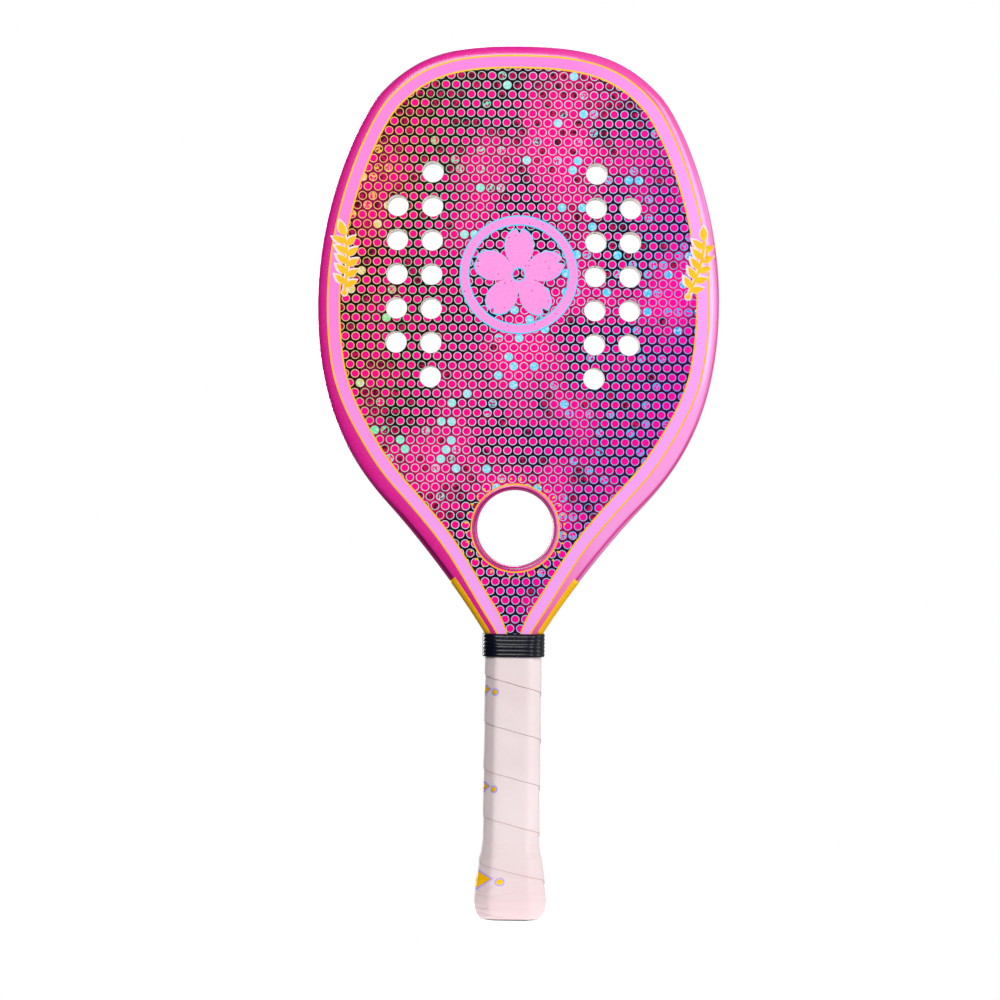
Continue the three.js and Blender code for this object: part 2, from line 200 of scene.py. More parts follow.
def stations(count=220):
    """Points and inward directions from the left leg, over the crown, to the right leg."""
    right = spaced(half_outline(), count)
    along = np.gradient(right, axis=0)
    along /= np.linalg.norm(along, axis=1)[:, None]
    along[0] = (1.0, 0.0)
    inward = np.stack([along[:, 1], -along[:, 0]], axis=1)
    flip = np.array([-1.0, 1.0])
    points = np.concatenate([(right[1:] * flip)[::-1], right])
    return points, np.concatenate([(inward[1:] * flip)[::-1], inward])


def smoothstep(x, low, high):
    t = np.clip((x - low) / (high - low), 0.0, 1.0)
    return t * t * (3 - 2 * t)


def mix(a, b, t):
    return a + (b - a) * t


def bevel_width(z):
    return BEVEL + FLANK_BEVEL_EXTRA * smoothstep(z, 170, 215) * (1 - smoothstep(z, 262, 315))


def tube_width(z):
    return mix(LEG_WIDTH, bevel_width(z) + BAND, smoothstep(z, LEG_TOP_Z, 171.7))


def tube_half(z):
    return mix(LEG_Y, SKIN_Y, smoothstep(z, LEG_TOP_Z, 168))


POINTS, INWARD = stations()


def offset_line(depth):
    """The line at a given depth inside the outline; depth is one value or one per station."""
    return POINTS + INWARD * np.broadcast_to(depth, len(POINTS))[:, None]


# ---------------------------------------------------------------- mesh helpers


def new_object(name, verts, faces, material, smooth=True, scale=MM):
    mesh = bpy.data.meshes.new(name)
    mesh.from_pydata((np.asarray(verts) * scale).tolist(), [], faces)
    mesh.validate()
    mesh.materials.append(material)
    obj = bpy.data.objects.new(name, mesh)
    bpy.context.scene.collection.objects.link(obj)
    mesh.polygons.foreach_set("use_smooth", [smooth] * len(mesh.polygons))
    return obj


def grid_faces(rows, columns, close_rows=False, close_columns=False):
    faces = []
    for i in range(rows if close_rows else rows - 1):
        for j in range(columns if close_columns else columns - 1):
            k = (j + 1) % columns
            near, far = i * columns, ((i + 1) % rows) * columns
            faces.append((near + j, near + k, far + k, far + j))
    return faces


def recalculate(obj):
    """Points every face of a closed piece outwards."""
    bm = bmesh.new()
    bm.from_mesh(obj.data)
    bmesh.ops.recalc_face_normals(bm, faces=bm.faces)
    bm.to_mesh(obj.data)
    bm.free()
    return obj


def flat_plate(name, loops, y_from, y_to, material, bend=None):
    """A plate cut to closed loops of (x, z); loops inside others are holes."""
    curve = bpy.data.curves.new(name, "CURVE")
    curve.dimensions = "2D"
    curve.fill_mode = "BOTH"
    curve.extrude = 0.5 * abs(y_to - y_from) * MM
    for loop in loops:
        spline = curve.splines.new("POLY")
        spline.points.add(len(loop) - 1)
        flat = np.zeros((len(loop), 4))
        flat[:, :2] = np.asarray(loop) * MM
        flat[:, 3] = 1.0
        spline.points.foreach_set("co", flat.ravel())
        spline.use_cyclic_u = True
    source = bpy.data.objects.new(name, curve)
    bpy.context.scene.collection.objects.link(source)
    bpy.context.view_layer.update()
    mesh = bpy.data.meshes.new_from_object(source.evaluated_get(bpy.context.evaluated_depsgraph_get()))
    bpy.data.objects.remove(source)
    bpy.data.curves.remove(curve)
    co = np.zeros(len(mesh.vertices) * 3)
    mesh.vertices.foreach_get("co", co)
    co = co.reshape(-1, 3)
    layer = np.sign(co[:, 2]) * 0.5 * (y_to - y_from) * MM
    out = np.stack([co[:, 0], 0.5 * (y_from + y_to) * MM + layer, co[:, 1]], axis=1)
    if bend:
        out = bend(out / MM) * MM
    mesh.vertices.foreach_set("co", out.ravel())
    mesh.materials.clear()
    mesh.materials.append(material)
    obj = bpy.data.objects.new(name, mesh)
    bpy.context.scene.collection.objects.link(obj)
    merge = obj.modifiers.new("weld", "WELD")
    merge.merge_threshold = 1e-6
    apply_modifiers(obj)
    return recalculate(obj)


def apply_modifiers(obj):
    evaluated = obj.evaluated_get(bpy.context.evaluated_depsgraph_get())
    mesh = bpy.data.meshes.new_from_object(evaluated)
    old = obj.data
    obj.modifiers.clear()
    obj.data = mesh
    name = old.name
    bpy.data.meshes.remove(old)
    mesh.name = name


def joined(name, pieces):
    """One object from several, keeping the first one's material."""
    verts, faces, start = [], [], 0
    material = pieces[0].data.materials[0]
    for piece in pieces:
        verts += [v.co[:] for v in piece.data.vertices]
        faces += [[start + i for i in p.vertices] for p in piece.data.polygons]
        start = len(verts)
        bpy.data.objects.remove(piece)
    return new_object(name, verts, faces, material, smooth=False, scale=1.0)


def circle(x, z, radius, steps):
    angle = np.linspace(0, 2 * math.pi, steps, endpoint=False)
    return np.stack([x + radius * np.cos(angle), z + radius * np.sin(angle)], axis=1)


def add(piece, slot, *nodes):
    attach(piece, "root")
    if nodes:
        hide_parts(*nodes)
    return piece


# ---------------------------------------------------------------- node-material helpers


class Shader:
    """A material under construction, with one Principled BSDF and short node builders."""

    def __init__(self, name, **settings):
        self.material = bpy.data.materials.new(name)
        self.material.use_nodes = True
        self.tree = self.material.node_tree
        self.bsdf = self.tree.nodes["Principled BSDF"]
        for key, value in settings.items():
            self.bsdf.inputs[key.replace("_", " ")].default_value = value

    def node(self, kind, inputs=None, **settings):
        made = self.tree.nodes.new(kind)
        for key, value in settings.items():
            setattr(made, key, value)
        for key, value in (inputs or {}).items():
            self.put(made.inputs[key], value)
        return made

    def put(self, socket, value):
        if isinstance(value, bpy.types.NodeSocket):
            self.tree.links.new(value, socket)
        else:
            socket.default_value = value

    def position(self):
        return self.node("ShaderNodeNewGeometry").outputs["Position"]

    def axes(self, vector=None):
        return self.node("ShaderNodeSeparateXYZ", {0: vector or self.position()}).outputs

    def attribute(self, name):
        return self.node("ShaderNodeAttribute", attribute_name=name).outputs["Fac"]

    def math(self, operation, a, b=0.0):
        return self.node("ShaderNodeMath", {0: a, 1: b}, operation=operation).outputs[0]

    def product(self, a, b):
        return self.math("MULTIPLY", a, b)

    def sum(self, a, b):
        return self.math("ADD", a, b)

    def vector(self, operation, a, b):
        made = self.node("ShaderNodeVectorMath", {0: a, 1: b}, operation=operation)
        return made.outputs["Value" if operation == "DISTANCE" else "Vector"]

    def range(self, value, low, high, to_low=0.0, to_high=1.0):
        made = self.node("ShaderNodeMapRange", {0: value, 1: low, 2: high, 3: to_low, 4: to_high})
        return made.outputs[0]

    def blend(self, factor, a, b):
        made = self.node("ShaderNodeMix", data_type="RGBA")
        self.put(made.inputs[0], factor)
        self.put(made.inputs[6], a)
        self.put(made.inputs[7], b)
        return made.outputs[2]

    def noise(self, scale, detail=2.0, vector=None):
        made = self.node("ShaderNodeTexNoise", {"Scale": scale, "Detail": detail})
        self.put(made.inputs["Vector"], vector or self.position())
        return made.outputs["Fac"]

    def ramp(self, value, stops):
        made = self.node("ShaderNodeValToRGB", {0: value})
        ramp = made.color_ramp
        while len(ramp.elements) < len(stops):
            ramp.elements.new(0.5)
        for element, (place, color) in zip(ramp.elements, stops):
            element.position = place
            element.color = color
        return made.outputs[0]

    def bump(self, height, distance, strength):
        inputs = {"Height": height, "Distance": distance, "Strength": strength}
        self.put(self.bsdf.inputs["Normal"], self.node("ShaderNodeBump", inputs).outputs[0])

    def set(self, socket, value):
        self.put(self.bsdf.inputs[socket], value)


def rgb(red, green, blue):
    """A linear colour from display values of 0 to 255."""
    def linear(v):
        v /= 255.0
        return v / 12.92 if v <= 0.04045 else ((v + 0.055) / 1.055) ** 2.4

    return (linear(red), linear(green), linear(blue), 1.0)


# ---------------------------------------------------------------- materials


def lacquer_material():
    """Magenta pearl lacquer with fine sparkle and a clear coat, paler towards the right and lower down
    as a painted highlight, and darkened along the creases as painted shade.
    """
    s = Shader("pearl_lacquer", Roughness=0.42, Coat_Weight=1.0, Coat_Roughness=0.14)
    s.bsdf.inputs["Specular IOR Level"].default_value = 0.3
    drift = s.noise(9.0, 3.0)
    base = s.blend(drift, rgb(232, 2, 136), rgb(236, 20, 160))
    place = s.axes()
    # Painted highlight: the lacquer turns paler towards the right and lower down.
    pale = s.product(s.range(place[0], 0.0, 0.05, 0.0, 0.95), s.range(place[2], 0.47, 0.36, 0.15, 1.0))
    base = s.blend(pale, base, rgb(255, 160, 232))
    fleck = s.range(s.noise(2600.0, 1.0), 0.62, 0.74)
    base = s.blend(s.product(fleck, 0.45), base, rgb(255, 150, 225))
    # Painted shade: the crease lines, dark maroon, and magenta where the painted highlight is.
    line = s.blend(pale, rgb(60, 0, 34), rgb(226, 0, 130))
    s.set("Base Color", s.blend(s.attribute("crease"), base, line))
    s.set("Metallic", s.product(fleck, 0.3))
    s.bump(s.noise(500.0, 2.0), 0.00002, 0.4)
    return s.material


def band_material():
    """Pink ink with fine grain, which turns to lilac lower down, and paler lilac to the right as a
    painted highlight.
    """
    s = Shader("border_ink", Roughness=0.42)
    s.bsdf.inputs["Specular IOR Level"].default_value = 0.25
    place = s.axes()
    lilac_and_highlight = s.sum(s.range(place[2], 0.34, 0.18), s.product(s.noise(14.0, 2.0), 0.3))
    # Painted highlight: paler lilac towards the right.
    lilac_and_highlight = s.sum(lilac_and_highlight, s.range(place[0], 0.03, 0.10, 0.0, 0.8))
    base = s.blend(lilac_and_highlight, rgb(255, 112, 212), rgb(248, 158, 248))
    grain = s.range(s.noise(3000.0, 2.0), 0.35, 0.7)
    s.set("Base Color", s.blend(s.product(grain, 0.3), base, rgb(255, 190, 240)))
    s.bump(s.noise(900.0, 2.0), 0.00001, 0.5)
    return s.material


def gold_material():
    """Warm yellow-gold ink."""
    s = Shader("gold_ink", Roughness=0.4, Metallic=0.1)
    s.bsdf.inputs["Specular IOR Level"].default_value = 0.25
    s.set("Base Color", s.blend(s.noise(160.0, 3.0), rgb(255, 176, 0), rgb(255, 206, 0)))
    s.bump(s.noise(2500.0, 2.0), 0.00001, 0.5)
    return s.material


def cyan_material():
    """Light blue ink of the emblem's outline."""
    s = Shader("cyan_ink", Roughness=0.45)
    s.bsdf.inputs["Specular IOR Level"].default_value = 0.25
    s.set("Base Color", s.blend(s.noise(60.0, 2.0), rgb(10, 206, 255), rgb(70, 230, 255)))
    s.bump(s.noise(2500.0, 2.0), 0.00001, 0.4)
    return s.material


def pale_outline_material():
    """Off-white pink ink round the sprigs."""
    s = Shader("pale_outline_ink", Roughness=0.45)
    s.set("Base Color", s.blend(s.noise(80.0, 2.0), rgb(255, 214, 240), rgb(255, 240, 225)))
    s.bump(s.noise(2500.0, 2.0), 0.00001, 0.4)
    return s.material


def emblem_material():
    """Sparkly pink print with tiny darker specks."""
    s = Shader("emblem_ink", Roughness=0.5)
    s.bsdf.inputs["Specular IOR Level"].default_value = 0.25
    base = s.blend(s.noise(1500.0, 2.0), rgb(255, 126, 216), rgb(255, 172, 240))
    cells = s.node("ShaderNodeTexVoronoi", {"Scale": 520.0, "Vector": s.position()})
    throw = s.node("ShaderNodeSeparateColor", {0: cells.outputs["Color"]}).outputs[0]
    rare = s.math("GREATER_THAN", throw, 0.9)
    speck = s.product(s.math("LESS_THAN", cells.outputs["Distance"], 0.22), rare)
    s.set("Base Color", s.blend(speck, base, rgb(226, 40, 150)))
    s.bump(s.noise(1500.0, 2.0), 0.00001, 0.5)
    return s.material


def nearest_cell(s):
    """Centre of the nearest printed circle, and the distance from it, in staggered rows."""
    origin = (DOT_ORIGIN[0] * MM, 0, DOT_ORIGIN[1] * MM)
    flat = s.vector("MULTIPLY", s.vector("SUBTRACT", s.position(), origin), (1, 0, 1))
    cell = (DOT_PITCH * MM, 1, 2 * DOT_ROW * MM)
    half = (cell[0] / 2, 0, cell[2] / 2)
    even = s.vector("SNAP", s.vector("ADD", flat, half), cell)
    odd = s.vector("ADD", s.vector("SNAP", flat, cell), half)
    even_away = s.vector("DISTANCE", flat, even)
    odd_away = s.vector("DISTANCE", flat, odd)
    nearer_odd = s.math("LESS_THAN", odd_away, even_away)
    centre = s.node("ShaderNodeMix", {0: nearer_odd}, data_type="VECTOR")
    s.put(centre.inputs[4], even)
    s.put(centre.inputs[5], odd)
    return centre.outputs[1], s.math("MINIMUM", even_away, odd_away)


def cell_throws(s, centre):
    """Three random numbers for each cell."""
    spread = s.node("ShaderNodeVectorMath", {0: centre, "Scale": 977.0}, operation="SCALE")
    dice = s.node("ShaderNodeTexWhiteNoise", {"Vector": spread.outputs[0]}, noise_dimensions="3D")
    return s.node("ShaderNodeSeparateColor", {0: dice.outputs["Color"]}).outputs


def foil_hue(s, centre):
    """Place on the foil's colour scale: warm at the left, pale in the middle, blue at the right."""
    place = s.axes(centre)
    across = s.sum(s.product(place[0], 4.2), 0.5)
    hue = s.sum(across, s.product(s.math("SUBTRACT", place[2], 0.35), -0.9))
    return s.sum(hue, s.product(s.math("SUBTRACT", s.noise(12.0, 1.0), 0.5), 0.35))


def ring_color(s, hue):
    return s.ramp(hue, [
        (0.08, rgb(240, 216, 100)),
        (0.24, rgb(140, 230, 164)),
        (0.40, rgb(186, 236, 240)),
        (0.56, rgb(180, 236, 250)),
        (0.72, rgb(90, 214, 255)),
        (0.95, rgb(84, 160, 255)),
    ])


def foil_color(s, hue):
    return s.ramp(hue, [
        (0.08, rgb(255, 196, 80)),
        (0.24, rgb(100, 236, 150)),
        (0.42, rgb(150, 230, 236)),
        (0.60, rgb(70, 214, 250)),
        (0.76, rgb(50, 196, 255)),
        (0.95, rgb(40, 140, 250)),
    ])


def ground_color(s, hue, streak):
    """Near-black, with pink light in patches that follow the streaks."""
    ground = s.ramp(hue, [
        (0.10, rgb(34, 0, 14)),
        (0.60, rgb(34, 0, 26)),
        (1.0, rgb(60, 0, 52)),
    ])
    glow = s.range(s.sum(streak, s.product(s.noise(120.0, 2.0), 0.2)), 0.60, 0.75)
    glow = s.product(glow, s.range(hue, 0.15, 0.5, 0.45, 1.0))
    return s.blend(glow, ground, rgb(255, 0, 132))


def dot_color(s, hue, dark, flecked, foil):
    """Hot pink, stained maroon in dark cells and broken by bits of foil in flecked ones."""
    pink = s.blend(s.noise(900.0, 2.0), rgb(255, 0, 130), rgb(255, 0, 146))
    pink = s.blend(s.range(hue, 0.55, 0.95), pink, rgb(255, 0, 160))
    stain = s.range(s.noise(420.0, 3.0), 0.42, 0.62)
    dot = s.blend(dark, pink, s.blend(stain, rgb(214, 0, 96), rgb(70, 0, 34)))
    torn = s.range(s.noise(640.0, 3.0), 0.50, 0.56)
    return s.blend(s.product(flecked, torn), dot, foil)


def honeycomb_material():
    """Staggered rows of ringed dots over a dark ground, with iridescent cells among them."""
    s = Shader("honeycomb_print", Roughness=0.45)
    s.bsdf.inputs["Specular IOR Level"].default_value = 0.05
    centre, away = nearest_cell(s)
    throws = cell_throws(s, centre)
    hue = foil_hue(s, centre)

    # Broad streaks gather the bright and flecked cells, and dark cells gather in the shade.
    streak = s.noise(17.0, 1.5, s.vector("ADD", centre, (0.13, 0, 0.07)))
    shade = s.noise(7.0, 1.0, s.vector("ADD", centre, (0.4, 0, 0.9)))
    bright_odds = s.range(streak, 0.50, 0.68, 0.006, 0.20)
    flecked_odds = s.sum(s.product(bright_odds, 0.9), s.range(hue, 0.5, 0.75, 0.0, 0.07))
    dark_odds = s.product(s.range(shade, 0.42, 0.62, 0.55, 0.05), s.range(hue, 0.45, 0.7, 1.0, 0.3))
    bright = s.math("LESS_THAN", throws[0], bright_odds)
    flecked = s.math("LESS_THAN", throws[1], flecked_odds)
    dark = s.math("LESS_THAN", throws[2], dark_odds)

    foil = foil_color(s, hue)
    frosted = s.product(s.range(s.noise(800.0, 3.0), 0.46, 0.62), 0.7)
    frosted_foil = s.blend(frosted, foil, rgb(226, 244, 250))
    inside_ring = s.range(away, DOT_RING_RADIUS * MM, (DOT_RING_RADIUS - 0.12) * MM)
    inside_dot = s.range(away, DOT_RADIUS * MM, (DOT_RADIUS - 0.14) * MM)
    bright_cell = s.product(bright, inside_ring)

    color = s.blend(s.product(inside_ring, 0.97), ground_color(s, hue, streak), ring_color(s, hue))
    color = s.blend(inside_dot, color, dot_color(s, hue, dark, flecked, foil))
    s.set("Base Color", s.blend(bright_cell, color, frosted_foil))
    s.set("Roughness", s.range(bright_cell, 0, 1, 0.45, 0.3))
    s.bump(s.sum(inside_ring, s.product(s.noise(700.0, 2.0), 0.3)), 0.00002, 0.5)
    return s.material


def foam_material():
    """White closed-cell foam with fine pores."""
    s = Shader("foam", Roughness=0.9)
    cells = s.node("ShaderNodeTexVoronoi", {"Scale": 1500.0, "Vector": s.position()})
    pores = s.range(cells.outputs["Distance"], 0.1, 0.6)
    s.set("Base Color", s.blend(pores, rgb(236, 230, 226), rgb(255, 252, 248)))
    s.bump(pores, 0.0002, 0.6)
    return s.material


def laminate_material():
    """Dark resin-rich edge of the woven skin."""
    s = Shader("laminate", Roughness=0.45)
    plies = s.node("ShaderNodeTexWave", {"Scale": 900.0, "Distortion": 1.0, "Vector": s.position()})
    plies.bands_direction = "Y"
    s.set("Base Color", s.blend(plies.outputs["Fac"], rgb(92, 10, 50), rgb(60, 8, 34)))
    s.bump(plies.outputs["Fac"], 0.00005, 0.5)
    return s.material


def overgrip_material():
    """Pale pink tacky tape: fine dimples, faint smudges, darker seams, painted shade greying it
    towards the foot, and folds low at the left.
    """
    s = Shader("overgrip_tape", Roughness=0.62, Sheen_Weight=0.25, Sheen_Roughness=0.5)
    s.bsdf.inputs["Subsurface Weight"].default_value = 0.08
    s.bsdf.inputs["Subsurface Scale"].default_value = 0.002
    place = s.axes()
    smudge = s.range(s.noise(26.0, 4.0), 0.35, 0.75)
    base = s.blend(smudge, rgb(244, 227, 228), rgb(238, 216, 218))
    # Painted shade: the tape turns greyer towards the foot.
    base = s.blend(s.range(place[2], 0.07, 0.005, 0.0, 0.85), base, rgb(206, 182, 184))
    seam = s.product(s.attribute("seam"), 0.6)
    s.set("Base Color", s.blend(seam, base, rgb(150, 96, 92)))
    dimples = s.node("ShaderNodeTexVoronoi", {"Scale": 1300.0, "Vector": s.position()})
    height = s.sum(dimples.outputs["Distance"], s.product(s.noise(220.0, 3.0), 1.2))
    stretched = s.vector("MULTIPLY", s.position(), (1, 1, 5))
    low = s.product(s.range(place[2], 0.034, 0.02), s.range(place[0], 0.006, -0.012, 0.25, 1.0))
    folds = s.product(s.noise(60.0, 2.0, stretched), low)
    height = s.sum(height, s.product(folds, 40.0))
    s.bump(height, 0.00005, 0.6)
    return s.material


def rubber_material():
    """Glossy moulded rubber of the collar."""
    s = Shader("collar_rubber", Roughness=0.28)
    s.bsdf.inputs["Specular IOR Level"].default_value = 0.35
    s.set("Base Color", s.blend(s.noise(300.0, 3.0), rgb(3, 6, 18), rgb(10, 14, 34)))
    s.set("Roughness", s.range(s.noise(700.0, 2.0), 0.3, 0.7, 0.2, 0.36))
    s.bump(s.noise(900.0, 3.0), 0.00003, 0.4)
    return s.material


def plastic_material(name, dark, light, roughness):
    """Moulded plastic with a fine spark-eroded grain."""
    s = Shader(name, Roughness=roughness)
    s.set("Base Color", s.blend(s.noise(60.0, 4.0), dark, light))
    s.set("Roughness", s.range(s.noise(240.0, 2.0), 0.3, 0.7, roughness - 0.06, roughness + 0.06))
    s.bump(s.noise(2400.0, 2.0), 0.00004, 0.5)
    return s.material


def steel_material():
    """Bare drawn steel."""
    s = Shader("staple_steel", Roughness=0.3, Metallic=1.0)
    s.set("Base Color", s.blend(s.noise(900.0, 2.0), rgb(150, 150, 152), rgb(205, 205, 208)))
    s.bump(s.noise(3000.0, 2.0), 0.00002, 0.5)
    return s.material


# ---------------------------------------------------------------- frame tube


def bevel_curve(z, steps=17):
    """Points from the side wall to the flat: a tight corner, then a long shallow slope."""
    half = tube_half(z)
    bevel = min(bevel_width(z), tube_width(z) * 0.5)
    side = SIDE_WALL_Y * half / SKIN_Y
    return bezier(
        np.array([0.0, side]),
        np.array([0.0, mix(side, half, 0.62)]),
        np.array([bevel * 0.22, mix(side, half, 0.86)]),
        np.array([bevel, half]),
        steps,
    )


def tube_section(z):
    edge = bevel_curve(z)
    width, half = tube_width(z), tube_half(z)
    side = np.array([[0.0, edge[0, 1] * t] for t in (-0.5, 0.0, 0.5)])
    upper = np.concatenate([edge, [[mix(edge[-1, 0], width, 0.5), half], [width, half]]])
    lower = (upper * (1, -1))[::-1]
    return np.concatenate([lower, side, upper])


def frame_tube(material):
    keep = POINTS[:, 1] > TUBE_END_Z
    sections = np.array([tube_section(z) for z in POINTS[keep, 1]])
    spot = POINTS[keep][:, None, :] + INWARD[keep][:, None, :] * sections[:, :, :1]
    verts = np.stack([spot[..., 0], sections[..., 1], spot[..., 1]], axis=2)
    rows, columns = verts.shape[:2]
    faces = grid_faces(rows, columns, close_columns=True)
    faces += [list(range(columns)), [(rows - 1) * columns + j for j in range(columns)]]
    piece = recalculate(new_object("tube_shell", verts.reshape(-1, 3), faces, material))
    side, height = POINTS[keep, :1], POINTS[keep, 1:]
    # Painted shade along the bevel's crease, fading out higher up the head.
    below = sections[..., 0] - mix(SHADE_LINE_DEPTH, RIM_SHADE_LINE_DEPTH, smoothstep(height, 215, 262))
    fade = np.where(side > 0, smoothstep(height, 370, 420), smoothstep(height, 215, 262))
    line = np.exp(-((below / SHADE_LINE_WIDTH) ** 2)) * (1 - fade)
    paint_crease_shade(piece, line * (np.abs(sections[..., 1]) > SIDE_WALL_Y * 0.8))
    return piece


def paint_crease_shade(piece, strength):
    """Stores how strongly the painted shade darkens the lacquer along a crease, point by point."""
    attribute = piece.data.attributes.new("crease", "FLOAT", "POINT")
    attribute.data.foreach_set("value", np.ascontiguousarray(strength, dtype=np.float32).ravel())


def surface_y(x, z):
    """Half thickness of the racket's surface at a place on the head."""
    distance = np.linalg.norm(POINTS - (x, z), axis=1)
    near = int(distance.argmin())
    depth = float(np.dot(np.array([x, z]) - POINTS[near], INWARD[near]))
    edge = bevel_curve(POINTS[near, 1], 24)
    return float(np.interp(max(depth, 0.0), edge[:, 0], edge[:, 1]))


# ---------------------------------------------------------------- face


def face_loop(inset=0.0):
    line = offset_line(tube_width(POINTS[:, 1]) + inset)
    kept = line[line[:, 1] > FACE_BOTTOM_Z]
    ends = np.array([[kept[-1, 0], FACE_BOTTOM_Z], [kept[0, 0], FACE_BOTTOM_Z]])
    return np.concatenate([kept, ends])


def hole_loops(grow=0.0):
    loops = [circle(0, THROAT_Z, THROAT_RING + 0.3, 96)]
    for side in (-1, 1):
        for column, rows in ((0, 3), (1, 2)):
            for row in range(-rows, rows + 1):
                x = HOLE_PATTERN_X + side * (HOLE_INNER_COLUMN_X + column * HOLE_COLUMN_PITCH)
                loops.append(circle(x, HOLE_PATTERN_Z + row * HOLE_ROW_PITCH, HOLE_RADIUS + grow, 48))
    return loops


def face_layers(foam, laminate, print_):
    core = flat_plate("core_block", [face_loop(0.3)] + hole_loops(), -CORE_Y, CORE_Y, foam)
    add(core, "foam", "core_foam")
    for sign, side in ((-1, "front"), (1, "rear")):
        loops = [face_loop(0.3)] + hole_loops(-0.05)
        skin = flat_plate(f"{side}_laminate", loops, sign * CORE_Y, sign * SKIN_Y, laminate)
        add(skin, "laminate", f"{side}_skin")
        loops = [face_loop(0.1)] + hole_loops(0.1)
        film = flat_plate(f"{side}_print", loops, sign * SKIN_Y, sign * FILM_Y, print_)
        add(film, "printed_film", f"{side}_film")


def strip_loop(depth_out, depth_in):
    """A strip that follows the outline from collar to collar."""
    above = POINTS[:, 1] > TUBE_END_Z
    outer = offset_line(depth_out)[above]
    inner = offset_line(depth_in)[above]
    return np.concatenate([outer, inner[::-1]])


def borders(band, gold):
    bevel = bevel_width(POINTS[:, 1])
    inner = tube_width(POINTS[:, 1])
    for sign, side in ((-1, "front"), (1, "rear")):
        strip = [strip_loop(bevel, inner)]
        piece = flat_plate(f"{side}_border", strip, sign * SKIN_Y, sign * FILM_Y, band)
        add(piece, "border_print", f"{side}_border_decal")
        lines = []
        for name, depth in (("outer", bevel), ("inner", inner)):
            loop = [strip_loop(depth - PINSTRIPE / 2, depth + PINSTRIPE / 2)]
            y_from, y_to = sign * (SKIN_Y - 0.05), sign * (FILM_Y + 0.06)
            lines.append(flat_plate(name, loop, y_from, y_to, gold))
        add(joined(f"{side}_pinstripes", lines), "gold_foil")


# ---------------------------------------------------------------- decals


def blossom(radius, grow=0.0, petals=5, steps=320):
    """Outline of a five-petal flower, whose petals are notched at the tip."""
    angle = np.linspace(0, 2 * math.pi, steps, endpoint=False)
    swing = np.abs(np.cos(petals * angle / 2))
    notch = 3.2 * np.exp(-((np.sin(petals * angle / 2) / 0.10) ** 2))
    reach = radius * (0.30 + 0.70 * swing**0.62) - notch + grow
    upright = angle + math.pi / 2
    return np.stack([reach * np.cos(upright), EMBLEM_Z + reach * np.sin(upright)], axis=1)


def emblem_loops(grow):
    """Loops of the ring and of the blossom, both wider by the same amount on every edge."""
    ring_in = EMBLEM_RADIUS - EMBLEM_RING
    ring = [circle(0, EMBLEM_Z, EMBLEM_RADIUS + grow, 160), circle(0, EMBLEM_Z, ring_in - grow, 160)]
    flower = [blossom(ring_in - PETAL_GAP, grow), circle(0, EMBLEM_Z, EYE_RADIUS - grow, 48)]
    return ring, flower


def emblem(sign, side, ink, outline):
    low, mid, high = FILM_Y - 0.05, FILM_Y + 0.08, FILM_Y + 0.16
    under = emblem_loops(OUTLINE_WIDTH)
    over = emblem_loops(0.0)
    cyan = [flat_plate("part", loops, sign * low, sign * mid, outline) for loops in under]
    pink = [flat_plate("part", loops, sign * (mid - 0.03), sign * high, ink) for loops in over]
    add(joined(f"{side}_emblem_outline", cyan), "emblem_foil")
    add(joined(f"{side}_emblem_print", pink), "emblem_foil", f"{side}_emblem")


def leaf_loop(length, width, steps=14):
    t = np.linspace(0, 1, steps)
    belly = width * np.sin(math.pi * t**0.8)
    right = np.stack([belly, t * length], axis=1)
    left = np.stack([-belly[1:-1], t[1:-1] * length], axis=1)[::-1]
    return np.concatenate([right, left])


def turned(loop, angle, x, z):
    c, s = math.cos(angle), math.sin(angle)
    return np.stack([x + loop[:, 0] * c - loop[:, 1] * s, z + loop[:, 0] * s + loop[:, 1] * c], axis=1)


def sprig_loops(side, grow):
    """Loops of one curved stem with paired leaves, a bud at its tip and a knob at its foot."""
    t = np.linspace(0, 1, 40)
    stem = np.stack([STEM_SWAY * np.sin(2.6 * t - 0.4), (t - 0.5) * SPRIG_LENGTH], axis=1)
    along = np.gradient(stem, axis=0)
    heading = np.arctan2(along[:, 1], along[:, 0]) - math.pi / 2
    normal = np.stack([np.cos(heading), np.sin(heading)], axis=1)
    half_width = 0.7 + 1.3 * grow
    loops = [np.concatenate([stem - normal * half_width, (stem + normal * half_width)[::-1]])]
    leaf = leaf_loop(8.0 + 2 * grow, 1.85 + grow)
    for i in range(4, 34, 7):
        for lean in (-LEAF_LEAN, LEAF_LEAN):
            place = stem[i + (2 if lean > 0 else 0)] - grow * normal[i]
            loops.append(turned(leaf, heading[i] + lean, *place))
    loops.append(turned(leaf_loop(9.0 + 2 * grow, 2.1 + grow), heading[-1], *stem[-1]))
    loops.append(circle(stem[0, 0], stem[0, 1], 1.5 + grow, 20))
    return [turned(loop, -side * SPRIG_LEAN, side * SPRIG_X, SPRIG_Z) for loop in loops]


def lying_on_face(sign, lift):
    """A bend that lays a flat plate on the face and over the slope of the bevel."""
    def bend(points):
        out = points.copy()
        thin = out[:, 1] - sign * FILM_Y
        for i, (x, _, z) in enumerate(points):
            level = surface_y(x, z) + (FILM_Y - SKIN_Y)
            out[i, 1] = sign * (level + lift) + thin[i]
        return out

    return bend


def sprig_layer(sign, side, grow, lift, material):
    """One layer of a sprig. Each part stands a little higher than the last, so no two tops meet."""
    pieces = []
    for i, loop in enumerate(sprig_loops(side, grow)):
        top = sign * (FILM_Y + 0.06 + 0.006 * i)
        bend = lying_on_face(sign, lift)
        pieces.append(flat_plate("part", [loop], sign * FILM_Y, top, material, bend))
    return pieces


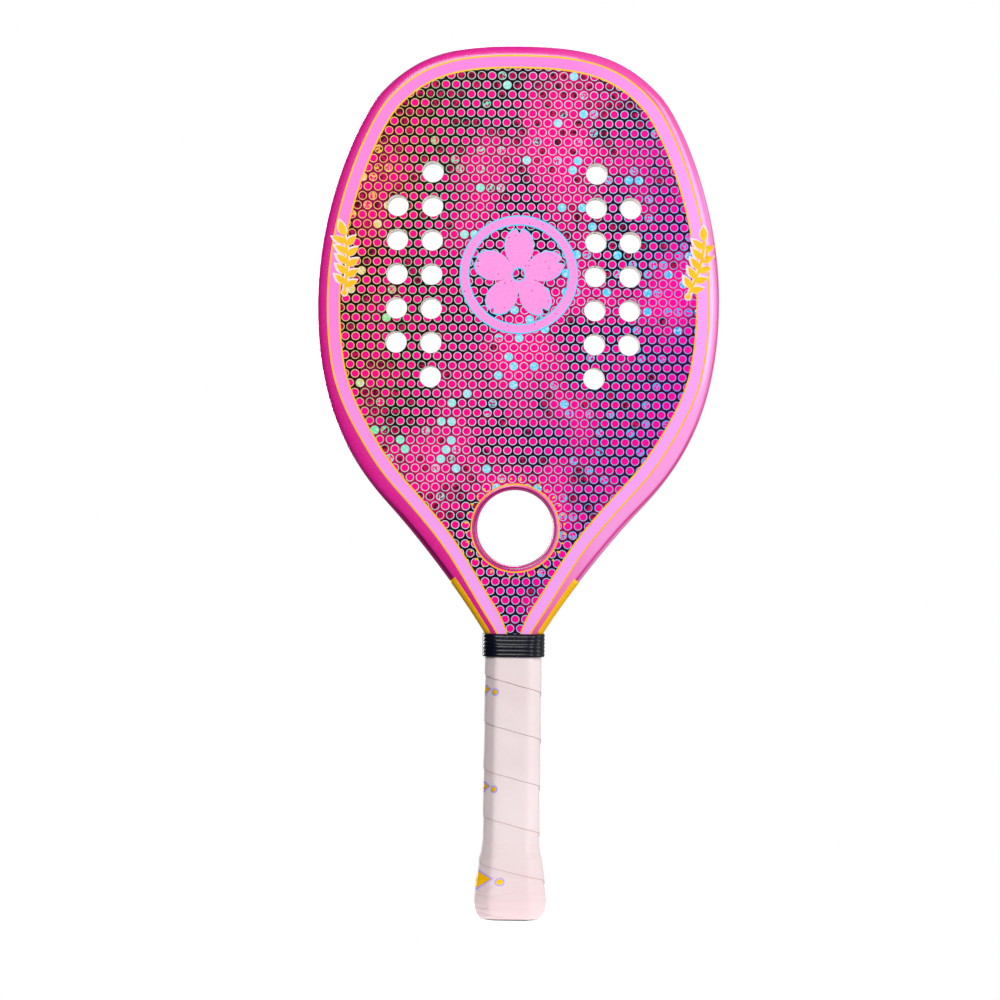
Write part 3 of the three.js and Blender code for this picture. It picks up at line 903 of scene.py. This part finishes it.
def sprigs(gold, pale):
    for sign, face in ((-1, "front"), (1, "rear")):
        for side, hand in ((-1, "left"), (1, "right")):
            outline = sprig_layer(sign, side, 0.65, 0.08, pale)
            add(joined(f"{face}_outline_{hand}", outline), "gold_foil")
            sprig = sprig_layer(sign, side, 0.0, 0.17, gold)
            add(joined(f"{face}_sprig_{hand}", sprig), "gold_foil", f"{face}_sprig_{hand}")


def side_decals(gold):
    """Foil wrapped round the side wall of each arm of the throat, from bevel to bevel."""
    low, high = NECK_Z - 2, SIDE_FOIL_TOP_Z
    for side, hand in ((-1, "left"), (1, "right")):
        keep = (np.sign(POINTS[:, 0]) == side) & (POINTS[:, 1] > low) & (POINTS[:, 1] < high)
        rows = []
        for (x, z), inward in zip(POINTS[keep], INWARD[keep]):
            edge = bevel_curve(z, 25)[:19]
            section = np.concatenate([(edge * (1, -1))[::-1], edge])
            for line, lift in ((section, SIDE_FOIL_OUTSIDE), (section[::-1], SIDE_FOIL_INSIDE)):
                out = line - (lift, 0)
                rows.append([(x + inward[0] * d, y, z + inward[1] * d) for d, y in out])
        verts = np.array(rows).reshape(int(keep.sum()), -1, 3)
        count = verts.shape[1]
        last = (verts.shape[0] - 1) * count
        faces = grid_faces(verts.shape[0], count, close_columns=True)
        faces += [list(range(count)), [last + j for j in range(count)]]
        piece = new_object(f"side_foil_{hand}", verts.reshape(-1, 3), faces, gold)
        add(recalculate(piece), "gold_foil", f"side_decal_{hand}")


# ---------------------------------------------------------------- throat


def revolved(name, profile, z, material):
    """A closed (radius, y) profile turned about the Y direction."""
    angle = np.linspace(0, 2 * math.pi, THROAT_STEPS, endpoint=False)
    verts = [(r * math.cos(a), y, z + r * math.sin(a)) for a in angle for r, y in profile]
    faces = grid_faces(THROAT_STEPS, len(profile), close_rows=True, close_columns=True)
    return recalculate(new_object(name, verts, faces, material))


def throat_lining(lacquer):
    corner = bezier(
        np.array([THROAT_BORE, 8.6]),
        np.array([THROAT_BORE, 10.4]),
        np.array([22.6, 11.15]),
        np.array([24.0, 11.1]),
        20,
    )
    half = np.concatenate([corner, [[THROAT_RING, 10.9], [THROAT_RING + 0.25, 10.7]]])
    profile = np.concatenate([half, (half * (1, -1))[::-1]])
    ring = revolved("throat_lining", profile, THROAT_Z, lacquer)
    # Painted shade: a dark line round the lining where its lip turns into the bore.
    across = (profile[:, 0] - THROAT_SHADE_LINE_RADIUS) / THROAT_SHADE_LINE_WIDTH
    paint_crease_shade(ring, np.tile(np.exp(-(across**2)), THROAT_STEPS))
    add(ring, "frame_lacquer", "throat_ring")


def throat_trim(gold):
    """A gold ring round the throat hole, and a circle of small diamonds and dots round it."""
    diamond = np.array([[1.35, 0], [0, 0.7], [-1.35, 0], [0, -0.7]])
    dot = circle(0, 0, 0.62, 16)
    ring = [circle(0, THROAT_Z, THROAT_RING + grow, THROAT_STEPS) for grow in (0.55, -0.25)]
    for sign, side in ((-1, "front"), (1, "rear")):
        pieces = [flat_plate("part", ring, sign * (FILM_Y - 0.1), sign * (FILM_Y + 0.12), gold)]
        for i in range(TRIM_MARKS):
            angle = 2 * math.pi * (i + 0.5) / TRIM_MARKS
            x, z = TRIM_RADIUS * math.cos(angle), THROAT_Z + TRIM_RADIUS * math.sin(angle)
            loop = turned(diamond if i % 2 else dot, angle, x, z)
            low, high = sign * (FILM_Y - 0.05), sign * (FILM_Y + 0.08)
            pieces.append(flat_plate("part", [loop], low, high, gold))
        add(joined(f"{side}_throat_trim", pieces), "gold_foil")


# ---------------------------------------------------------------- handle


def octagon_radius(angle, x, y, chamfer, sharpness=26.0):
    """Distance from the axis to an eight-sided outline with softly rounded corners."""
    total = 0.0
    slant = (x + y - chamfer) / math.sqrt(2)
    for k in range(8):
        reach = (x, slant, y, slant)[k % 4]
        facing = np.maximum(np.cos(angle - k * math.pi / 4), 0.0)
        total = total + (facing / reach) ** sharpness
    return total ** (-1 / sharpness)


def grip_radius(angle, z):
    grow = np.interp(z, FLARE_Z, FLARE_BY)
    chamfer = GRIP["chamfer"] + CHAMFER_GROWTH * grow
    return octagon_radius(angle, GRIP["x"] + grow, GRIP["y"] + grow, chamfer)


def wrap_turns(angle, z):
    """How many turns of tape lie below a place on the grip. Seams fall from left to right."""
    return (z - WRAP_PHASE_Z) / WRAP_PITCH + (angle + math.pi) / (2 * math.pi)


def wrapped_radius(angle, z):
    """Grip surface: the lower edge of each turn laps the one beneath, with creases at the flare."""
    part = np.mod(wrap_turns(angle, z), 1.0)
    lap = WRAP_STEP * (0.5 - part)
    crease_zone = np.exp(-(((z - 12) / 14) ** 2))
    fold = np.sin(z * 1.9 + 2.2 * np.sin(angle * 2 + 0.6) + 1.3 * np.sin(angle * 5))
    crease = 0.07 * crease_zone * fold + 0.25 * np.exp(-(((z - 41 + 3 * np.sin(angle)) / 2.2) ** 2))
    soft = 0.10 * np.sin(angle * 3 + z * 0.11) * np.sin(z * 0.23)
    return grip_radius(angle, z) + lap * np.interp(z, [0, 4, 8], [0, 0.4, 1]) + crease + soft + 0.12


def overgrip(material):
    """Rows follow the spiral, so that every seam is a clean edge."""
    columns = 240
    rows_per_turn = 54
    angle = np.linspace(-math.pi, math.pi, columns, endpoint=False)
    fine = np.linspace(0.0, 1.0, rows_per_turn)
    lip = np.array([0.0, 0.004, 0.012, 0.024])
    within = np.unique(np.concatenate([lip, 1 - lip, fine]))
    within[-1] = 0.9995
    verts, seams = [], []
    for turn in range(-6, 3):
        for part in within:
            z = WRAP_PHASE_Z + WRAP_PITCH * (turn + part - (angle + math.pi) / (2 * math.pi))
            z = np.clip(z, GRIP_BOTTOM_Z, GRIP_TOP_Z)
            radius = wrapped_radius(angle, z)
            verts.append(np.stack([radius * np.cos(angle), radius * np.sin(angle), z], axis=1))
            seams.append(np.full(columns, float(part < 0.003 or part > 0.992)))
    verts, seams = np.array(verts), np.array(seams)
    rows = len(verts)
    faces = []
    for i in range(rows - 1):
        for j in range(columns):
            k = (j + 1) % columns
            # The spiral joins its next turn up where the angle wraps round.
            shift = -len(within) if k == 0 else 0
            if i + shift < 0:
                continue
            near, far = i * columns, (i + shift) * columns
            faces.append((near + j, far + k, far + columns + k, near + columns + j))
    piece = new_object("overgrip_wrap", verts.reshape(-1, 3), faces, material)
    attribute = piece.data.attributes.new("seam", "FLOAT", "POINT")
    attribute.data.foreach_set("value", seams.ravel())
    weld = piece.modifiers.new("weld", "WELD")
    weld.merge_threshold = 2e-6
    apply_modifiers(piece)
    thick = piece.modifiers.new("thickness", "SOLIDIFY")
    thick.thickness = 0.0006
    thick.offset = -1
    return piece


def collar(material):
    """Ribbed outside from the bottom up, then a plain inside from the top down."""
    columns, steps = 160, 90
    angle = np.linspace(0, 2 * math.pi, columns, endpoint=False)

    def level(z, x, y, ridge=0.0):
        radius = octagon_radius(angle, x, y, 0.4 * y, COLLAR_SHARPNESS) + ridge
        return np.stack([radius * np.cos(angle), radius * np.sin(angle), np.full(columns, z)], axis=1)

    levels = []
    for u in np.linspace(0, 1, steps):
        z = mix(COLLAR_BOTTOM_Z, COLLAR_TOP_Z, u)
        y = float(np.interp(z, [COLLAR_BOTTOM_Z, COLLAR_SHOULDER_Z, COLLAR_TOP_Z], [16.1, 16.0, 13.3]))
        ridge = 0.42 * (abs(math.sin(math.pi * COLLAR_RIDGES * u)) ** 0.6 - 1)
        levels.append(level(z, COLLAR_X, y, ridge))
    levels.append(level(COLLAR_TOP_Z, 17.0, 12.4))
    levels.append(level(COLLAR_SHOULDER_Z, 16.9, 15.1))
    levels.append(level(COLLAR_BOTTOM_Z, 16.9, 15.2))
    verts = np.array(levels).reshape(-1, 3)
    faces = grid_faces(len(levels), columns, close_rows=True, close_columns=True)
    return recalculate(new_object("ribbed_collar", verts, faces, material))


def on_grip(points, z, lift):
    """Lays flat points of (along, up) on the grip, round its left front edge."""
    out = []
    for along, up in points:
        angle = MARK_ANGLE + along / MARK_CURVE
        radius = float(wrapped_radius(np.array(angle - 2 * math.pi), np.array(z + up))) + lift
        out.append((radius * math.cos(angle), radius * math.sin(angle), z + up))
    return out


def mark_loops(size, shift, dot_at, grow):
    """A lozenge that points to the right, and the dot beside it."""
    lozenge = np.array([[-4.6, -1.2], [-1.4, 1.6], [2.2, 0.1], [-1.2, -2.4]]) * size + (shift, 0)
    centre = lozenge.mean(axis=0)
    away = lozenge - centre
    length = np.linalg.norm(away, axis=1)[:, None]
    dot = circle(dot_at, -1.5, 1.2 + 0.04 * dot_at + grow, 18)
    return centre + away * (length + 1.5 * grow) / length, dot


def lay_on_grip(loop, z, lift, verts, faces):
    """Adds one filled loop, in rings close enough together to follow the grip's corners."""
    middle = loop.mean(axis=0)
    sides = zip(loop, np.roll(loop, -1, axis=0))
    fine = np.concatenate([np.linspace(a, b, 12, endpoint=False) for a, b in sides])
    count, start = len(fine), len(verts)
    for share in MARK_RINGS:
        verts += on_grip(middle + (fine - middle) * share, z, lift)
    verts += on_grip([middle], z, lift)
    last = start + (len(MARK_RINGS) - 1) * count
    for first in range(start, last, count):
        for j in range(count):
            k = (j + 1) % count
            faces.append((first + j, first + k, first + count + k, first + count + j))
    for j in range(count):
        faces.append((last + j, last + (j + 1) % count, last + count))


def grip_marks(gold, halo):
    """Small plain gold marks along one edge of the grip, each with a pale violet edge."""
    for layer, grow, lift, material in (("halo", 0.7, 0.14, halo), ("mark", 0.0, 0.26, gold)):
        verts, faces = [], []
        for z, size, shift, dot_at in GRIP_MARKS:
            for loop in mark_loops(size, shift, dot_at, grow):
                for high in (lift, lift - 0.09):
                    lay_on_grip(loop, z, high, verts, faces)
        piece = new_object(f"grip_{layer}", verts, faces, material)
        add(recalculate(piece), "gold_foil" if layer == "mark" else "overgrip")


# ---------------------------------------------------------------- studio


def camera():
    data = bpy.data.cameras.new("camera")
    data.lens = CAMERA_LENS
    data.clip_end = 50
    obj = bpy.data.objects.new("camera", data)
    obj.location = CAMERA_PLACE
    obj.rotation_euler = (math.radians(90), math.radians(CAMERA_ROLL), 0)
    bpy.context.scene.collection.objects.link(obj)
    bpy.context.scene.camera = obj


def area_light(name, location, size, power, aim=(0, 0, 0.26)):
    data = bpy.data.lights.new(name, "AREA")
    data.shape = "RECTANGLE"
    data.size, data.size_y = size
    data.energy = power
    obj = bpy.data.objects.new(name, data)
    obj.location = location
    obj.rotation_euler = (Vector(aim) - Vector(location)).to_track_quat("-Z", "Y").to_euler()
    bpy.context.scene.collection.objects.link(obj)


def floor():
    s = Shader("studio_floor", Roughness=0.9, Emission_Strength=0.68)
    s.bsdf.inputs["Emission Color"].default_value = (1, 1, 1, 1)
    s.set("Base Color", s.blend(s.noise(2.0, 2.0), (0.86, 0.86, 0.87, 1), (0.9, 0.9, 0.9, 1)))
    verts = [(x, y, 0.0) for x, y in circle(0, 0, FLOOR_RADIUS, FLOOR_STEPS)]
    rim = [list(range(FLOOR_STEPS))]
    obj = new_object("studio_floor", verts, rim, s.material, smooth=False, scale=1.0)


def world():
    """Pure white behind the racket, and a much weaker even light on it."""
    made = bpy.data.worlds.new("studio")
    bpy.context.scene.world = made
    made.use_nodes = True
    tree = made.node_tree
    background = tree.nodes["Background"]
    seen = tree.nodes.new("ShaderNodeLightPath").outputs["Is Camera Ray"]
    strength = tree.nodes.new("ShaderNodeMapRange")
    direction = tree.nodes.new("ShaderNodeTexCoord").outputs["Generated"]
    parts = tree.nodes.new("ShaderNodeSeparateXYZ")
    tree.links.new(direction, parts.inputs[0])
    ambient = tree.nodes.new("ShaderNodeMapRange")
    tree.links.new(parts.outputs[0], ambient.inputs[0])
    for index, value in enumerate((-0.9, 0.9, AMBIENT_LEFT, AMBIENT_RIGHT), start=1):
        ambient.inputs[index].default_value = value
    tree.links.new(seen, strength.inputs[0])
    tree.links.new(ambient.outputs[0], strength.inputs[3])
    strength.inputs[4].default_value = 1.0
    background.inputs[0].default_value = (1, 1, 1, 1)
    tree.links.new(strength.outputs[0], background.inputs[1])


def studio():
    world()
    area_light("key", (1.03, -1.47, 0.75), (0.5, 1.3), 13.5)
    area_light("high_fill", (-0.3, -2.1, 1.3), (1.0, 1.0), 31)
    area_light("strip", (1.5, -0.05, 0.35), (0.2, 1.2), 5)
    area_light("rear_key", (-1.03, 1.47, 0.5), (0.5, 1.3), 18)
    area_light("rear_high_fill", (0.3, 2.1, 1.5), (1.0, 1.0), 16)
    bpy.context.scene.view_settings.view_transform = "Standard"


# ---------------------------------------------------------------- assembly

camera()
studio()
floor()

lacquer = lacquer_material()
gold = gold_material()
pale = pale_outline_material()

add(frame_tube(lacquer), "frame_lacquer", "frame_tube")
face_layers(foam_material(), laminate_material(), honeycomb_material())
borders(band_material(), gold)
emblem_ink = emblem_material()
cyan_ink = cyan_material()
emblem(-1, "front", emblem_ink, cyan_ink)
emblem(1, "rear", emblem_ink, cyan_ink)
sprigs(gold, pale)
side_decals(gold)
throat_lining(lacquer)
throat_trim(gold)

grip = add(overgrip(overgrip_material()), "overgrip", "overgrip")
add(collar(rubber_material()), "collar_rubber", "collar")
violet = plastic_material("violet_ink", rgb(150, 150, 255), rgb(180, 170, 255), 0.5)
grip_marks(gold, violet)

cap_plastic = plastic_material("cap_plastic", rgb(14, 12, 18), rgb(30, 28, 36), 0.42)
pallet_plastic = plastic_material("pallet_plastic", rgb(44, 44, 46), rgb(62, 62, 64), 0.6)
filler_foam = plastic_material("filler_foam", rgb(205, 190, 150), rgb(225, 212, 176), 0.85)
cushion = plastic_material("cushion_grip", rgb(28, 28, 30), rgb(44, 44, 46), 0.8)
tape = plastic_material("vinyl_tape", rgb(14, 14, 16), rgb(24, 24, 28), 0.35)
steel = steel_material()

CAD_MATERIALS = {
    "butt_cap": cap_plastic,
    "butt_plug": cap_plastic,
    "pallet_front": pallet_plastic,
    "pallet_rear": pallet_plastic,
    "handle_filler": filler_foam,
    "base_grip": cushion,
    "finishing_tape": tape,
    "staple_front": steel,
    "staple_rear": steel,
}
for node, material in CAD_MATERIALS.items():
    obj = bpy.data.objects[node]
    for slot in obj.material_slots:
        slot.material = material
